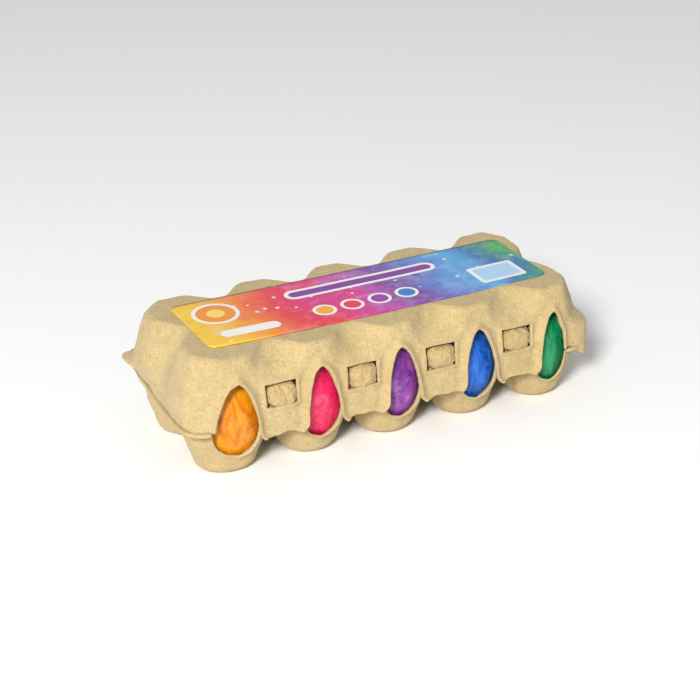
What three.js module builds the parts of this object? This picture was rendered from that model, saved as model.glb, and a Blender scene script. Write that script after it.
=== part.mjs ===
// A moulded-pulp carton for ten eggs, two rows of five, shut, with its dyed eggs and its label.
// Millimetres. X runs along the rows, Y across them with the hinge at the back, Z is up.
// The origin is the middle of the base.
import * as THREE from 'three';
import { ParametricGeometry } from 'three/addons/geometries/ParametricGeometry.js';
import { mergeGeometries, mergeVertices } from 'three/addons/utils/BufferGeometryUtils.js';

// The cells, and the shift that puts the origin in the middle of the whole carton
const CELLS_IN_ROW = 5;
const PITCH = 47;
const HALF_PITCH = PITCH / 2;
const ROW_OFFSET = 24.5;
const END_CELL = PITCH * (CELLS_IN_ROW - 1) / 2;
const FRONT = -1;
const BACK = 1;
const BOX_SHIFT = { x: 1.6, y: -0.97 };

// The pulp's wall, and the gap between pieces that touch
const WALL = 1.6;
const GAP = 0.3;

// The lid's outside: how far it reaches out from a cell's axis, and the valleys between cells
const LID_TOP = 69.4;
const LID_SAG = { front: 1.9, back: 0.2, halfWidth: 44, tilt: 0.022, span: 112, foot: 55.4 };
const LID_REACH = { side: 20, end: 17.8 };
const LID_DRAFT = { side: 0.12, end: 0.34, height: 23 };
const END_LEAN = 2.3;
const SIDE_VALLEY = { depth: 13.4, foot: 51.4 };
const END_VALLEY = { depth: 8.8, foot: 40.4 };
const LOBE_FULLNESS = 1.35;
const FOLD_INSET = { valley: 1.8, lobe: 5 };
const FOLD_DROP = { valley: 2.5, lobe: 6 };
const FOLD_TURNS = [0, 40, 90];
const WALL_SHARES = [0, 0.09, 0.15, 0.36, 0.555, 0.78, 0.9, 1];
const PANEL_FOOT = 22.4;
const PANEL_CORNER = 4;

// Where the lid's lines run: along half a panel, round a corner, and across an end
const PANEL_SHARES = [0, 0.25, 0.5, 0.75, 1];
const SLOT_SHARE = 0.5;
const CORNER_SHARES = [0, 1 / 6, 2 / 6, 3 / 6, 4 / 6, 5 / 6, 1];
const END_YS = [-17, -10, -5, 0, 5, 10, 17];
const FLARE = { top: 46.4, power: 2, foldPower: 7 };

// The ear at the front right corner is a ledge on the wall, with rows of its own for its edges
const EAR = { top: 46.2, full: 44.2, share: 0.9 };
const EAR_SHARES = [0, 0.12, 0.25, 0.41, 0.5, 0.7, 0.88, 1];

// Where lid and tray meet, and the rim's edge as it is at the corners, the ends and the fold
const JOINT_Z = 31.4;
const JOINT_RISE = 7;
const RISE_SPAN = 48;
const HINGE_Y = 52;
const HINGE_Z = JOINT_Z + JOINT_RISE;
const LID_LIFT = { rim: 1.6, fold: 2.1 };
const LIP = 1.5;
const END_EDGE = 28;
const RIGHT_TRIM = 3.2;
const FOLD_EDGE = HINGE_Y - ROW_OFFSET;
const FRONT_CORNER = { side: 25.5, end: 29.5, squareness: 4 };
const TRAY_CORNERS = {
  [FRONT]: FRONT_CORNER,
  [BACK]: { side: FOLD_EDGE, end: 29.5, squareness: 3.2 },
};
const LID_CORNERS = {
  [FRONT]: FRONT_CORNER,
  [BACK]: { side: FOLD_EDGE, end: 30.5, squareness: 10 },
};

// The windows that show the front eggs, and the slots in the panels between them
const WINDOW = { apex: 55.4, wide: 27.4, foot: 12.7, half: 9.5, power: 1.6, root: 0.55 };
const TOWARD_END = { [-1]: 1.4, [1]: 0.6 };
const SLOT_HALF = 9.25;
const SLOT_EDGE = HALF_PITCH - SLOT_HALF;
const SLOT_ROWS = [0.15, 0.36];

// The tray: the inside of a cup as radius and height from floor to rim, and the ridges
const CUP_PROFILE = [
  [10.5, WALL],
  [14.2, 2.2],
  [16.8, 5],
  [18.2, WINDOW.foot],
  [18.9, 14.6],
  [20.8, 20],
  [22.5, 30.4],
];
const CUP_LEAN = { [-1]: 2.4, [1]: -1 };
const CUP_DRAFT = 0.1;
const RIM_DROP = 1.5;
const RIDGE_Z = 24.9;
const RIDGE_OUTS = [10, 0, -ROW_OFFSET / 2, -ROW_OFFSET];
const RIDGE_POWER = { toRim: 1.5, toPost: 2 };
const ROW_RIDGE_Z = 28.4;
const ROW_RIDGE_RISE = 0.25;
const POST_Z = 38.4;
const TRAY_CORNER_SHARES = [0, 0.25, 0.5, 0.75, 1];

// The locking tabs stand on the front rim, and each has a raised button in its slot
const TAB = { half: 8.85, out: 20.7, top: 49.2, lean: 0.105, topHalf: 6 };
const TAB_HEIGHTS = [JOINT_Z, 36.4, 38.1, 39.6, 43.9, 47.7, TAB.top];
const BUTTON = { half: 7.4, foot: 38.1, raise: 0.7, edge: 1.5 };
const RIM_EDGE_AT_WINDOW = 21.8;

const LABEL = { halfLength: 101, halfWidth: 29, corner: 3.5, thickness: 0.35, strips: 8 };

// Half length and half width of each egg along a row; the lower end is the fuller one
const EGG_SIZES = [[29.2, 20.7], [28.8, 20.6], [29.3, 20.8], [29, 20.5], [28.7, 20.7]];
const EGG_FULLNESS = 0.09;
const EGG_SIDES = 14;
const EGG_RINGS = 8;

// Colours and how matt each surface is
const PULP = { colour: 0xd3bd8c, roughness: 0.95 };
const COATED_PAPER = { colour: 0xb36bb0, roughness: 0.4 };
const SHELL_ROUGHNESS = 0.35;
const EGG_COLOURS = {
  front: [0xe39a1b, 0xd9266e, 0x7d2f8c, 0x1f66c0, 0x138a4c],
  back: [0x138a4c, 0x1f66c0, 0xe39a1b, 0xd9266e, 0x7d2f8c],
};

const { lerp, clamp, smoothstep, degToRad } = THREE.MathUtils;
const RIGHT_ANGLE = Math.PI / 2;

// Half the width of the almond-shaped opening at a height: pointed above, round below
function windowHalf(z) {
  if (z >= WINDOW.apex || z <= WINDOW.foot) {
    return 0;
  }
  if (z > WINDOW.wide) {
    const up = (z - WINDOW.wide) / (WINDOW.apex - WINDOW.wide);
    return WINDOW.half * (1 - up ** WINDOW.power) ** WINDOW.root;
  }
  const down = (WINDOW.wide - z) / (WINDOW.wide - WINDOW.foot);
  return WINDOW.half * Math.sqrt(1 - down ** 2);
}

// The opening's edge in the lid, which below the widest place rounds a panel's lower corner
function lidCutHalf(z) {
  if (z > WINDOW.wide) {
    return windowHalf(z);
  }
  const down = clamp(PANEL_FOOT + PANEL_CORNER - z, 0, PANEL_CORNER);
  return WINDOW.half + PANEL_CORNER - Math.sqrt(PANEL_CORNER ** 2 - down ** 2);
}

// Height of the joint between lid and tray, which climbs toward the hinge
function jointZ(y) {
  return JOINT_Z + JOINT_RISE * clamp(y / RISE_SPAN, 0, 1);
}

// The rim is narrower at the right end than at the left
function rimTrim(end) {
  return end > 0 ? RIGHT_TRIM : 0;
}

// How far the rim's edge lies from a corner cell's axis, by the angle from the long side
function cornerEdge(corners, side, end, angle) {
  const { side: toSide, end: toLeftEnd, squareness } = corners[side];
  const toEnd = toLeftEnd - rimTrim(end);
  const share = (Math.cos(angle) / toSide) ** squareness + (Math.sin(angle) / toEnd) ** squareness;
  return share ** (-1 / squareness);
}

// How far the rim's edge lies beyond the end cells, halfway along the end the least
function endEdge(corners, end, y) {
  const corner = corners[y < 0 ? FRONT : BACK].end;
  return lerp(END_EDGE, corner, Math.abs(y) / ROW_OFFSET) - rimTrim(end);
}

// 1 where the rim belongs to the fold at the back, 0 at the ends and the front
function foldShare(side, angle) {
  return side === BACK ? 1 - smoothstep(angle, degToRad(60), RIGHT_ANGLE) : 0;
}

// A sheet of quads: point(column, row) gives its corners, isHole(column, row) leaves one out
function gridSheet(columns, rows, point, isHole = () => false) {
  const place = (u, v, target) => {
    target.set(...point(Math.round(u * columns), Math.round(v * rows)));
  };
  const sheet = new ParametricGeometry(place, columns, rows);
  const cornersPerQuad = 6;
  const kept = [...sheet.index.array].filter((_, i) => {
    const quad = Math.floor(i / cornersPerQuad);
    return !isHole(quad % columns, Math.floor(quad / columns));
  });
  sheet.setIndex(kept);
  return sheet;
}

// Joins sheets along the corners they share, drops triangles that have no area, and turns the
// rest to face out of the pulp
function joinSheets(sheets) {
  const joined = mergeGeometries(sheets);
  joined.deleteAttribute('normal');
  joined.deleteAttribute('uv');
  const merged = mergeVertices(joined, 1e-3);
  const kept = [];
  for (let i = 0; i < merged.index.count; i += 3) {
    const [a, b, c] = merged.index.array.subarray(i, i + 3);
    if (a !== b && b !== c && c !== a) {
      kept.push(a, c, b);
    }
  }
  merged.setIndex(kept);
  return merged;
}

// Gives an open sheet its wall: a second skin one wall behind it, and a strip on each free edge
function thicken(sheet, wall) {
  sheet.computeVertexNormals();
  const index = sheet.index.array;
  const front = sheet.getAttribute('position');
  const normals = sheet.getAttribute('normal');
  const points = [...front.array];
  for (let i = 0; i < front.count; i += 1) {
    points.push(
      front.getX(i) - wall * normals.getX(i),
      front.getY(i) - wall * normals.getY(i),
      front.getZ(i) - wall * normals.getZ(i),
    );
  }
  const behind = front.count;
  const faces = [];
  const edges = new Set();
  for (let i = 0; i < index.length; i += 3) {
    const [a, b, c] = index.slice(i, i + 3);
    faces.push(a, b, c, a + behind, c + behind, b + behind);
    edges.add(`${a} ${b}`).add(`${b} ${c}`).add(`${c} ${a}`);
  }
  for (const edge of edges) {
    const [a, b] = edge.split(' ').map(Number);
    if (!edges.has(`${b} ${a}`)) {
      faces.push(a, a + behind, b, b, a + behind, b + behind);
    }
  }
  const solid = new THREE.BufferGeometry();
  solid.setAttribute('position', new THREE.Float32BufferAttribute(points, 3));
  solid.setIndex(faces);
  return solid;
}

// The lid's reach from a cell's axis before valleys and flares. The end lobes all lean left.
function lidReach(z) {
  return LID_REACH.side + LID_DRAFT.side * (LID_TOP - z);
}

function lidEndReach(z) {
  return LID_REACH.end + LID_DRAFT.end * Math.min(LID_TOP - z, LID_DRAFT.height);
}

function lidCornerReach(z, end, angle) {
  return lerp(lidReach(z), lidEndReach(z) - end * END_LEAN, Math.sin(angle) ** 2);
}

// 1 over a cell and 0 in the valley beside it, by the share of the way to the valley
function lobe(share) {
  return Math.sin(RIGHT_ANGLE * (1 - share)) ** LOBE_FULLNESS;
}

function valleyDepth({ depth, foot }, z, share) {
  return depth * clamp((z - foot) / (LID_TOP - foot), 0, 1) * (1 - lobe(share));
}

// The share of the flare toward the rim's edge that the wall has at a height
function flareShare(z, foot, power) {
  return clamp((FLARE.top - z) / (FLARE.top - foot), 0, 1) ** power;
}

// A station is one of the lines that run from the lid's middle down to its foot. It gives
// where it starts, how much of a lobe it is on, its foot, and its place at a height.
function sideStation(side, cell, half, share) {
  const cellX = PITCH * cell - END_CELL;
  const foot = side === FRONT ? PANEL_FOOT : HINGE_Z + LID_LIFT.fold;
  const offsetAt = (z) => {
    const edge = side === FRONT && z < WINDOW.apex ? lidCutHalf(z) : 0;
    const toSlot = lerp(edge, SLOT_EDGE, clamp(share / SLOT_SHARE, 0, 1));
    return lerp(toSlot, HALF_PITCH, clamp((share - SLOT_SHARE) / (1 - SLOT_SHARE), 0, 1));
  };
  return {
    spineX: cellX + half * offsetAt(LID_TOP),
    lobe: lobe(offsetAt(LID_TOP) / HALF_PITCH),
    foot,
    wallShares: WALL_SHARES,
    plan: (z, inset) => {
      const offset = offsetAt(z);
      const reach = lidReach(z) - valleyDepth(SIDE_VALLEY, z, offset / HALF_PITCH);
      const toFold = side === BACK ? flareShare(z, foot, FLARE.foldPower) : 0;
      const out = lerp(reach - inset, FOLD_EDGE, toFold);
      return [cellX + half * offset, side * (ROW_OFFSET + out)];
    },
  };
}

function cornerStation(side, end, share) {
  const angleAt = (z) => {
    const cutHalf = side === FRONT && z < WINDOW.apex ? lidCutHalf(z) * TOWARD_END[end] : 0;
    return lerp(Math.asin(cutHalf / lidReach(z)), RIGHT_ANGLE, share);
  };
  const footAngle = angleAt(JOINT_Z);
  const fold = foldShare(side, footAngle);
  const edge = cornerEdge(LID_CORNERS, side, end, footAngle) - LIP * (1 - fold);
  const footY = side * (ROW_OFFSET + Math.cos(footAngle) * edge);
  const foot = jointZ(footY) + lerp(LID_LIFT.rim, LID_LIFT.fold, fold);
  const hasEar = side === FRONT && end > 0;
  const flareAt = (z) => {
    const plain = flareShare(z, foot, lerp(FLARE.power, FLARE.foldPower, fold));
    const ear = hasEar ? EAR.share * (1 - smoothstep(z, EAR.full, EAR.top)) : 0;
    return Math.max(plain, ear);
  };
  return {
    spineX: end * END_CELL,
    lobe: 1,
    foot,
    wallShares: hasEar ? EAR_SHARES : WALL_SHARES,
    plan: (z, inset) => {
      const angle = angleAt(z);
      const out = lerp(lidCornerReach(z, end, angle) - inset, edge, flareAt(z));
      return [
        end * (END_CELL + Math.sin(angle) * out),
        side * (ROW_OFFSET + Math.cos(angle) * out),
      ];
    },
  };
}

function endStation(end, y) {
  const toValley = 1 - Math.abs(y) / ROW_OFFSET;
  const foot = jointZ(y) + LID_LIFT.rim;
  return {
    spineX: end * END_CELL,
    lobe: lobe(toValley),
    foot,
    wallShares: WALL_SHARES,
    plan: (z, inset) => {
      const lean = -end * END_LEAN * lobe(toValley);
      const reach = lidEndReach(z) + lean - valleyDepth(END_VALLEY, z, toValley);
      const edge = endEdge(LID_CORNERS, end, y) - LIP;
      const out = lerp(reach - inset, edge, flareShare(z, foot, FLARE.power));
      return [end * (END_CELL + out), y];
    },
  };
}

// Stations from one window's middle to the next, left to right
function panelRun(side, cell) {
  const fromLeft = PANEL_SHARES.map((share) => sideStation(side, cell, 1, share));
  const fromRight = PANEL_SHARES.map((share) => sideStation(side, cell + 1, -1, share));
  return [...fromLeft, ...fromRight.reverse().slice(1)];
}

// Stations round one end, from the front window's middle to the middle of the back cell
function endRun(end) {
  return [
    ...CORNER_SHARES.map((share) => cornerStation(FRONT, end, share)),
    ...END_YS.map((y) => endStation(end, y)),
    ...CORNER_SHARES.map((share) => cornerStation(BACK, end, share)).reverse(),
  ];
}

// How far the lid's top has sunk at a place: most midway along the front, hardly at the back
function sagAt(x, y, z) {
  const fade = clamp((z - LID_SAG.foot) / (LID_TOP - LID_SAG.foot), 0, 1);
  const depth = lerp(LID_SAG.front, LID_SAG.back, (y / LID_SAG.halfWidth + 1) / 2);
  return fade * (depth * (1 - (x / LID_SAG.span) ** 2) - LID_SAG.tilt * y);
}

// A point of the lid's outside: the middle line, then the turns of the fold, then the wall
function lidPoint(station, row) {
  if (row === 0) {
    return [station.spineX, 0, LID_TOP - sagAt(station.spineX, 0, LID_TOP)];
  }
  let z = LID_TOP;
  let inset = 0;
  if (row <= FOLD_TURNS.length) {
    const turn = degToRad(FOLD_TURNS[row - 1]);
    z -= lerp(FOLD_DROP.valley, FOLD_DROP.lobe, station.lobe) * (1 - Math.cos(turn));
    inset = lerp(FOLD_INSET.valley, FOLD_INSET.lobe, station.lobe) * (1 - Math.sin(turn));
  } else {
    z = lerp(WINDOW.apex, station.foot, station.wallShares[row - FOLD_TURNS.length - 1]);
  }
  const [x, y] = station.plan(z, inset);
  return [x, y, z - sagAt(x, y, z)];
}

const LID_ROWS = FOLD_TURNS.length + WALL_SHARES.length;

function lidSheet(stations, isHole) {
  return gridSheet(stations.length - 1, LID_ROWS, (i, j) => lidPoint(stations[i], j), isHole);
}

// The slot takes a panel's middle columns and the rows between its two edges
function isSlot(column, row) {
  const [top, foot] = SLOT_ROWS.map((share) => FOLD_TURNS.length + 1 + WALL_SHARES.indexOf(share));
  const first = PANEL_SHARES.indexOf(SLOT_SHARE);
  const last = 2 * (PANEL_SHARES.length - 1) - first;
  return row >= top && row <= foot && column >= first && column < last;
}

function makeLid() {
  const sheets = [lidSheet(endRun(1)), lidSheet(endRun(-1).reverse())];
  for (let cell = 0; cell < CELLS_IN_ROW - 1; cell += 1) {
    sheets.push(lidSheet(panelRun(FRONT, cell), isSlot));
    sheets.push(lidSheet(panelRun(BACK, cell).reverse()));
  }
  return thicken(joinSheets(sheets), WALL);
}

// Radius of a cup's inside at a height
function cupRadius(z) {
  const [rimRadius, rimZ] = CUP_PROFILE.at(-1);
  if (z >= rimZ) {
    return rimRadius + CUP_DRAFT * (z - rimZ);
  }
  const above = CUP_PROFILE.findIndex(([, height]) => height >= z);
  const [lowRadius, low] = CUP_PROFILE[Math.max(above - 1, 0)];
  const [highRadius, high] = CUP_PROFILE[above];
  return high > low ? lerp(lowRadius, highRadius, (z - low) / (high - low)) : highRadius;
}

// The angle, from straight out, at which the opening's edge crosses a cup's wall
function cutAngle(z, widening = 1) {
  return Math.asin(widening * windowHalf(z) / cupRadius(z));
}

// A column of a cell runs from the cup's middle up its wall to a point of the cell's border.
// x and out are measured from the cup's axis, out being away from the other row.
function column(x, out, z, angleAt = () => Math.atan2(x, out), lean = 0) {
  return { x, out, z, angleAt, lean };
}

// The half of a front cell's outer border between its window and the next ridge
function windowColumns(half) {
  const corner = Math.atan2(HALF_PITCH, TAB.out);
  const buttonEdge = HALF_PITCH - BUTTON.half;
  const tabXs = [HALF_PITCH - TAB.half, buttonEdge, buttonEdge + BUTTON.edge, HALF_PITCH];
  const atCut = column(half * WINDOW.half, RIM_EDGE_AT_WINDOW, JOINT_Z, (z) => half * cutAngle(z));
  const alongTab = tabXs.map((x) => {
    const rimAngle = cutAngle(JOINT_Z);
    const share = (Math.atan2(x, TAB.out) - rimAngle) / (corner - rimAngle);
    return column(half * x, TAB.out, JOINT_Z, (z) => half * lerp(cutAngle(z), corner, share));
  });
  return [atCut, ...alongTab];
}

// The outer border of a cell at a corner of the tray, from the long side round to the end
function cornerColumns(side, end) {
  return TRAY_CORNER_SHARES.map((share) => {
    const cut = (z) => (side === FRONT ? cutAngle(z, TOWARD_END[end]) : 0);
    const angleAt = (z) => end * lerp(cut(z), RIGHT_ANGLE, share);
    const angle = Math.abs(angleAt(JOINT_Z));
    const reach = cornerEdge(TRAY_CORNERS, side, end, angle) - GAP * foldShare(side, angle);
    const x = end * Math.sin(angle) * reach;
    const out = Math.cos(angle) * reach;
    return column(x, out, jointZ(side * (ROW_OFFSET + out)), angleAt, CUP_LEAN[end]);
  });
}

function foldColumns(half) {
  const out = FOLD_EDGE - GAP;
  return [0, HALF_PITCH / 2, HALF_PITCH].map((x) => column(half * x, out, HINGE_Z));
}

// The ridge between two cups of a row falls from the rim and climbs to the post
function ridgeZ(side, out) {
  if (out > 0) {
    const [edge, edgeZ] = side === FRONT ? [TAB.out, JOINT_Z] : [FOLD_EDGE, HINGE_Z];
    return lerp(RIDGE_Z, edgeZ, (out / edge) ** RIDGE_POWER.toRim);
  }
  return lerp(RIDGE_Z, POST_Z, (out / ROW_OFFSET) ** RIDGE_POWER.toPost);
}

// Half of a cell's border, from its outer middle round one neighbour to its inner middle
function halfBorder(side, half, atEnd) {
  const inward = -ROW_OFFSET;
  const columns = [];
  if (atEnd) {
    columns.push(...cornerColumns(side, half));
    const y = side * ROW_OFFSET / 2;
    columns.push(column(half * endEdge(TRAY_CORNERS, half, y), inward / 2, jointZ(y)));
    columns.push(column(half * endEdge(TRAY_CORNERS, half, 0), inward, JOINT_Z));
  } else {
    columns.push(...(side === FRONT ? windowColumns(half) : foldColumns(half)));
    columns.push(...RIDGE_OUTS.map((out) => column(half * HALF_PITCH, out, ridgeZ(side, out))));
  }
  const cornerZ = atEnd ? JOINT_Z : POST_Z;
  const quarterZ = lerp(ROW_RIDGE_Z, cornerZ, ROW_RIDGE_RISE);
  columns.push(column(half * HALF_PITCH / 2, inward, quarterZ));
  columns.push(column(0, inward, ROW_RIDGE_Z, () => half * Math.PI));
  return columns;
}

// The rows of a cell: the cup's middle, its profile up to the rim, and the border
const CUP_WALL_ROWS = CUP_PROFILE.length - 1;

function cellPoint(cellX, side, { x, out, z, angleAt, lean }, row) {
  if (row === 0) {
    return [cellX, side * ROW_OFFSET, WALL];
  }
  if (row > CUP_WALL_ROWS + 1) {
    return [cellX + x, side * (ROW_OFFSET + out), z];
  }
  const rowZ = row > CUP_WALL_ROWS ? z - RIM_DROP : CUP_PROFILE[row - 1][1];
  const angle = angleAt(rowZ);
  const leaning = lean * Math.sin(angle) ** 2 * Math.max(0, 1 - rowZ / JOINT_Z);
  const reach = cupRadius(rowZ) + leaning;
  return [cellX + Math.sin(angle) * reach, side * (ROW_OFFSET + Math.cos(angle) * reach), rowZ];
}

function cellSheet(side, cell) {
  const cellX = PITCH * cell - END_CELL;
  const right = halfBorder(side, 1, cell === CELLS_IN_ROW - 1);
  const left = halfBorder(side, -1, cell === 0);
  const around = [...right, ...left.reverse().slice(1)];
  const columns = side === FRONT ? around : around.reverse();
  return gridSheet(columns.length - 1, CUP_WALL_ROWS + 2, (i, j) => cellPoint(cellX, side, columns[i], j));
}

// A locking tab over one ridge: its wall leans in, and its button stands out
function tabSheet(cell) {
  const middleX = PITCH * cell - END_CELL + HALF_PITCH;
  const xs = [TAB.half, BUTTON.half, BUTTON.half - BUTTON.edge];
  const offsets = [...xs.map((x) => -x), 0, ...xs.reverse()];
  const point = (i, j) => {
    const z = TAB_HEIGHTS[j];
    const narrowing = j === TAB_HEIGHTS.length - 1 ? TAB.topHalf / TAB.half : 1;
    const inButton = Math.abs(offsets[i]) < BUTTON.half && z > BUTTON.foot && z < TAB.top;
    const out = TAB.out - TAB.lean * (z - JOINT_Z) + (inButton ? BUTTON.raise : 0);
    return [middleX + offsets[i] * narrowing, FRONT * (ROW_OFFSET + out), z];
  };
  return gridSheet(offsets.length - 1, TAB_HEIGHTS.length - 1, point);
}

function makeTray() {
  const sheets = [];
  for (let cell = 0; cell < CELLS_IN_ROW; cell += 1) {
    sheets.push(cellSheet(FRONT, cell), cellSheet(BACK, cell));
  }
  for (let cell = 0; cell < CELLS_IN_ROW - 1; cell += 1) {
    sheets.push(tabSheet(cell));
  }
  return thicken(joinSheets(sheets), WALL);
}

// The label lies on the lid and sags with it
function makeLabel() {
  const { halfLength, halfWidth, corner, thickness, strips } = LABEL;
  const inner = halfLength - corner;
  const bend = inner + corner * Math.SQRT1_2;
  const straight = Array.from({ length: strips + 1 }, (_, i) => inner * (2 * i / strips - 1));
  const xs = [-halfLength, -bend, ...straight, bend, halfLength];
  const sheet = gridSheet(xs.length - 1, 1, (i, j) => {
    const past = Math.max(0, Math.abs(xs[i]) - inner);
    const half = halfWidth - corner + Math.sqrt(corner ** 2 - past ** 2);
    const y = (2 * j - 1) * half;
    return [xs[i], y, LID_TOP + GAP + thickness - sagAt(xs[i], y, LID_TOP)];
  });
  return thicken(joinSheets([sheet]), thickness);
}

// An egg stands on its fuller end
function makeEgg([halfLength, halfWidth]) {
  const profile = [];
  for (let ring = 0; ring <= EGG_RINGS; ring += 1) {
    const turn = Math.PI * ring / EGG_RINGS;
    const radius = halfWidth * Math.sin(turn) * (1 + EGG_FULLNESS * Math.cos(turn));
    profile.push(new THREE.Vector2(Math.abs(radius), halfLength - halfLength * Math.cos(turn)));
  }
  const egg = new THREE.LatheGeometry(profile, EGG_SIDES);
  egg.rotateX(RIGHT_ANGLE);
  return egg;
}

function addPiece(parent, name, geometry, { colour, roughness }) {
  const material = new THREE.MeshStandardMaterial({ color: colour, roughness, metalness: 0 });
  const piece = new THREE.Mesh(geometry, material);
  piece.name = name;
  parent.add(piece);
  return piece;
}

const carton = new THREE.Group();
carton.position.set(BOX_SHIFT.x, BOX_SHIFT.y, 0);

const trayGroup = new THREE.Group();
addPiece(trayGroup, 'tray', makeTray(), PULP);
for (const [row, side] of [['front', FRONT], ['back', BACK]]) {
  EGG_SIZES.forEach((size, cell) => {
    const shell = { colour: EGG_COLOURS[row][cell], roughness: SHELL_ROUGHNESS };
    const egg = addPiece(trayGroup, `egg_${row}_${cell + 1}`, makeEgg(size), shell);
    egg.position.set(PITCH * cell - END_CELL, side * ROW_OFFSET, WALL + GAP);
  });
}
carton.add(trayGroup);

const lidGroup = new THREE.Group();
addPiece(lidGroup, 'lid', makeLid(), PULP);
addPiece(lidGroup, 'label', makeLabel(), COATED_PAPER);
carton.add(lidGroup);

export default carton;
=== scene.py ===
# %% [markdown]
# # An egg carton with ten dyed eggs
# The real object is one sheet of moulded paper pulp, folded once at the back: a tray of cups and a
# lid with windows, with ten dyed eggs inside and a printed paper label on top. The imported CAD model
# gives the plain solids at their real size. This notebook dresses them: each piece is built again
# as a finer mesh in the same place, from the same shape rules, and gets a material of its own.

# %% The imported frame
import math

import bpy
import numpy as np
from mathutils import Matrix, Vector, noise


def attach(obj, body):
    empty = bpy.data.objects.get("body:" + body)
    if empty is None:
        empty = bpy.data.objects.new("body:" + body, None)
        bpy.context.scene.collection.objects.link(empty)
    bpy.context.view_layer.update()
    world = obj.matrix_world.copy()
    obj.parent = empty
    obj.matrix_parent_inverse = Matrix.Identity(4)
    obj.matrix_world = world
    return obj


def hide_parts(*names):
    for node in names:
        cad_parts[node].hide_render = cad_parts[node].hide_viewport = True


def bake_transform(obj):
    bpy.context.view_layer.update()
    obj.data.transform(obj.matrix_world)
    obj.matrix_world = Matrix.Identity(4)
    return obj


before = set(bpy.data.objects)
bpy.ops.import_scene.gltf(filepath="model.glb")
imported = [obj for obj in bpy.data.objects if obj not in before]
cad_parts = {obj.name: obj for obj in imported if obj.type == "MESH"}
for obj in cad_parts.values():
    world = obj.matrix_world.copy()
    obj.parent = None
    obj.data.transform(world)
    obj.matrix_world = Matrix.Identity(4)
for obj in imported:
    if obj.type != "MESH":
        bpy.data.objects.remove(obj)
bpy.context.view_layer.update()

# %% [markdown]
# ## The carton's measures
# The shape rules are in millimetres and Blender works in metres, so one helper turns finished
# points into metres and moves them to the carton's place in the frame. With a single helper no
# piece can drift from another.

# %% Measures and small helpers
MM = 0.001
PLACE = np.array([1.6, -0.97, 0.0])
FRONT, BACK = -1, 1
LEFT, RIGHT = -1, 1
CELLS_IN_ROW = 5
PITCH = 47.0
HALF_PITCH = PITCH / 2
ROW_OFFSET = 24.5
END_CELL = PITCH * (CELLS_IN_ROW - 1) / 2
WALL = 1.6
LID_TOP = 69.4
JOINT_Z = 31.4
JOINT_RISE = 7.0
HINGE_Y = 52.0
HINGE_Z = JOINT_Z + JOINT_RISE


def to_metres(points):
    return (np.asarray(points, float) + PLACE) * MM


def clamp(value, low=0.0, high=1.0):
    return max(low, min(high, value))


def lerp(a, b, share):
    return a + (b - a) * share


def smoothstep(value, low, high):
    share = clamp((value - low) / (high - low))
    return share * share * (3 - 2 * share)


def cell_x(cell):
    return PITCH * cell - END_CELL


print("carton length over its cell axes:", 2 * END_CELL, "mm")

# %% [markdown]
# ## The camera
# The photograph looks down on the front left corner from about a metre away, with a long lens that
# keeps the rows nearly parallel. The camera could be aimed with a Track To constraint, but a matrix
# made from its own three directions also holds the slight roll of the picture, so that is used.

# %% Camera
VIEW = {"turn": -25.96, "height": 24.18, "roll": -1.67, "distance": 1102.11}
AIM = {"right": -6.75, "up": 29.18, "raise": 2.4}
FOCAL_PIXELS, PICTURE_PIXELS, SENSOR = 1974.12, 700, 36.0


def camera_frame(turn, height, roll, distance):
    turn, height, roll = (math.radians(angle) for angle in (turn, height, roll))
    level_share = math.cos(height)
    back = Vector((math.sin(turn) * level_share, -math.cos(turn) * level_share, math.sin(height)))
    level = Vector((math.cos(turn), math.sin(turn), 0))
    upright = back.cross(level)
    across = math.cos(roll) * level + math.sin(roll) * upright
    up = math.cos(roll) * upright - math.sin(roll) * level
    eye = back * distance + level * AIM["right"] + upright * AIM["up"]
    return across, up, back, eye


across, up, back, eye = camera_frame(**VIEW)
eye_place = Vector(to_metres(np.array(eye) + np.array([0, 0, AIM["raise"]])))
camera_data = bpy.data.cameras.new("camera")
camera_data.sensor_width = SENSOR
camera_data.lens = FOCAL_PIXELS * SENSOR / PICTURE_PIXELS
camera_data.clip_end = 20
camera = bpy.data.objects.new("camera", camera_data)
bpy.context.scene.collection.objects.link(camera)
turned = Matrix((across, up, back)).transposed().to_4x4()
camera.matrix_world = Matrix.Translation(eye_place) @ turned
bpy.context.scene.camera = camera
print("camera lens", round(camera_data.lens, 1), "mm")

# %% [markdown]
# ## The rules of the carton's shape
# Lid and tray meet all round in one joint line that climbs toward the hinge, and the windows cut
# through both. If each piece had its own idea of those lines, they would not meet. So the lines come
# first, as small functions: the half width of a window at a height, the joint's height at a depth,
# and how far the rim reaches out round a corner.

# %% Shared outlines
APEX, WIDE, WINDOW_FOOT, WINDOW_HALF = 55.4, 27.4, 12.7, 9.5
TOWARD_END = {LEFT: 1.4, RIGHT: 0.6}
PANEL_FOOT, PANEL_CORNER = 22.4, 4.0
WINDOW_POWERS = (1.6, 0.55)
JOINT_CLIMB = 48
PINCH = {"depth": 0.08, "ys": (2, 18), "angles": (52, 75)}
SKIRT_ANGLES, SKIRT_YS, FOLD_ANGLES = (24, 48), (-23, -13), (60, 90)
FOLD_EDGE = HINGE_Y - ROW_OFFSET
END_EDGE, RIGHT_TRIM = 28.0, 3.2
TRAY_CORNERS = {FRONT: (25.5, 29.5, 4.0), BACK: (FOLD_EDGE, 29.5, 3.2)}
LID_CORNERS = {FRONT: (25.5, 29.5, 4.0), BACK: (FOLD_EDGE, 30.5, 10.0)}


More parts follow.
